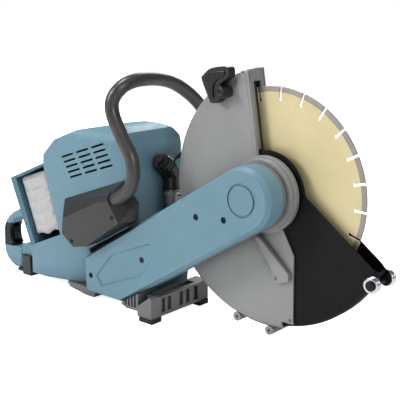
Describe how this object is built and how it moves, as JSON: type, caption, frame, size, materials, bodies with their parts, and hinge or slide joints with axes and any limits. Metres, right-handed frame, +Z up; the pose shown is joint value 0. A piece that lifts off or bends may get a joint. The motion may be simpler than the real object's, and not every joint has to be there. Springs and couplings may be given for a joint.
{
  "type": "battery rescue saw",
  "caption": "Hand-held cut-off saw: belt arm to a slotted cutting disc, turning guard with rollers, wrap-round front handle, rear loop handle and twin battery bays.",
  "frame": {"origin": "centre of the part's outline in plan, on the ground that its feet stand on", "axes": "+X forward along the tool to the disc, +Y to the tool's left, +Z up"},
  "size_m": [0.796, 0.2804, 0.407],
  "materials": {
    "teal_shell": "fine moulded texture, slight sheen",
    "bay_shell": "fine moulded texture",
    "guard_alloy": "silver-grey satin paint over cast alloy",
    "cover_black": "black satin paint",
    "disc_gold": "pale gold lacquer",
    "segment_steel": "sintered metal",
    "turned_steel": "machined",
    "bright_chrome": "polished",
    "cast_grey": "as cast",
    "dark_bracket": "fine moulded texture",
    "handle_rubber": "smooth",
    "tube_alloy": "drawn",
    "clear_door": "milky translucent",
    "skid_grey": "moulded",
    "black_rubber": "matt",
    "black_plastic": "matt",
    "lever_grey": "matt",
    "copper": "enamelled winding",
    "dark_screw": "blackened",
    "valve_alloy": "satin"
  },
  "bodies": {
    "frame": {"spindle_bearings": "bright_chrome", "motor_stator": "copper", "motor_bearings": "bright_chrome", "drive_belt": "black_rubber", "arm_frame": "cast_grey", "belt_cover": "teal_shell", "belt_cover_screws": "dark_screw", "upper_housing_right": "teal_shell", "upper_housing_left": "teal_shell", "base_housing_right": "teal_shell", "base_housing_left": "teal_shell", "battery_frame": "bay_shell", "battery_terminals": "black_plastic", "door_hinge_pins": "turned_steel", "motor_controller": "black_plastic", "side_bracket": "dark_bracket", "bracket_screws": "dark_screw", "left_bracket": "dark_bracket", "handle_tube": "tube_alloy", "handle_sleeve": "handle_rubber", "rear_handle": "teal_shell", "rear_grip": "black_rubber", "lever_pins": "turned_steel", "rear_foot": "black_plastic", "middle_skid": "skid_grey", "front_skid": "skid_grey", "skid_pads": "black_rubber", "water_elbow": "black_plastic", "water_pipe": "valve_alloy", "water_hose": "black_rubber"},
    "disc": {"cutting_disc": "disc_gold", "disc_segments": "segment_steel", "inner_flange": "turned_steel", "outer_flange": "turned_steel", "disc_bolt": "dark_screw", "spindle": "turned_steel", "spindle_pulley": "cast_grey"},
    "motor": {"motor_rotor": "turned_steel", "motor_fan": "black_plastic", "motor_pulley": "cast_grey"},
    "guard": {"guard_hub_ring": "guard_alloy", "guard_shell": "guard_alloy", "guard_left_plate": "guard_alloy", "guard_bolts": "dark_screw", "guard_stop_rail": "guard_alloy", "slot_seal": "black_rubber", "guard_lever": "lever_grey", "lever_boss": "black_plastic"},
    "front_cover": {"front_cover_right": "cover_black", "front_cover_left": "cover_black", "roller_axle": "dark_screw"},
    "right_roller": {"right_roller": "bright_chrome"},
    "left_roller": {"left_roller": "bright_chrome"},
    "right_door": {"right_battery_door": "clear_door"},
    "left_door": {"left_battery_door": "clear_door"},
    "trigger": {"trigger": "black_plastic"},
    "lock_off": {"lock_off_lever": "black_plastic"},
    "valve": {"valve_lever": "lever_grey"}
  },
  "joints": [
    {"name": "blade_spin", "type": "hinge", "parent": "frame", "child": "disc", "pos_m": [0.2095, -0.03775, 0.228], "axis": [0, 1, 0], "continuous": true},
    {"name": "motor_spin", "type": "hinge", "parent": "frame", "child": "motor", "pos_m": [-0.04594, -0.03775, 0.07452], "axis": [0, 1, 0], "continuous": true},
    {"name": "guard_turn", "type": "hinge", "parent": "frame", "child": "guard", "pos_m": [0.2095, -0.03775, 0.228], "axis": [0, 1, 0], "range_deg": [-15, 45]},
    {"name": "cover_turn", "type": "hinge", "parent": "guard", "child": "front_cover", "pos_m": [0.2095, -0.03775, 0.228], "axis": [0, 1, 0], "range_deg": [0, 40]},
    {"name": "right_roller_spin", "type": "hinge", "parent": "front_cover", "child": "right_roller", "pos_m": [0.3865, -0.05865, 0.13], "axis": [0, 1, 0], "continuous": true},
    {"name": "left_roller_spin", "type": "hinge", "parent": "front_cover", "child": "left_roller", "pos_m": [0.3865, -0.01685, 0.13], "axis": [0, 1, 0], "continuous": true},
    {"name": "right_door_turn", "type": "hinge", "parent": "frame", "child": "right_door", "pos_m": [-0.198, -0.09925, 0.109], "axis": [-0.3162, 0, 0.9487], "range_deg": [0, 85]},
    {"name": "left_door_turn", "type": "hinge", "parent": "frame", "child": "left_door", "pos_m": [-0.198, 0.01175, 0.109], "axis": [0.3162, 0, -0.9487], "range_deg": [0, 85]},
    {"name": "trigger_pull", "type": "hinge", "parent": "frame", "child": "trigger", "pos_m": [-0.3795, -0.06575, 0.081], "axis": [0, 1, 0], "range_deg": [0, 10], "stiffness_Nm_per_rad": 0.5},
    {"name": "lock_off_press", "type": "hinge", "parent": "frame", "child": "lock_off", "pos_m": [-0.3915, -0.06575, 0.078], "axis": [0, 1, 0], "range_deg": [-5, 0], "stiffness_Nm_per_rad": 0.3},
    {"name": "valve_turn", "type": "hinge", "parent": "frame", "child": "valve", "pos_m": [-0.0109, -0.01775, 0.228], "axis": [0, -0.788, 0.6157], "range_deg": [0, 90]}
  ],
  "couplings": [
    {"joint": "motor_spin", "follows": "blade_spin", "ratio": 1.5}
  ]
}
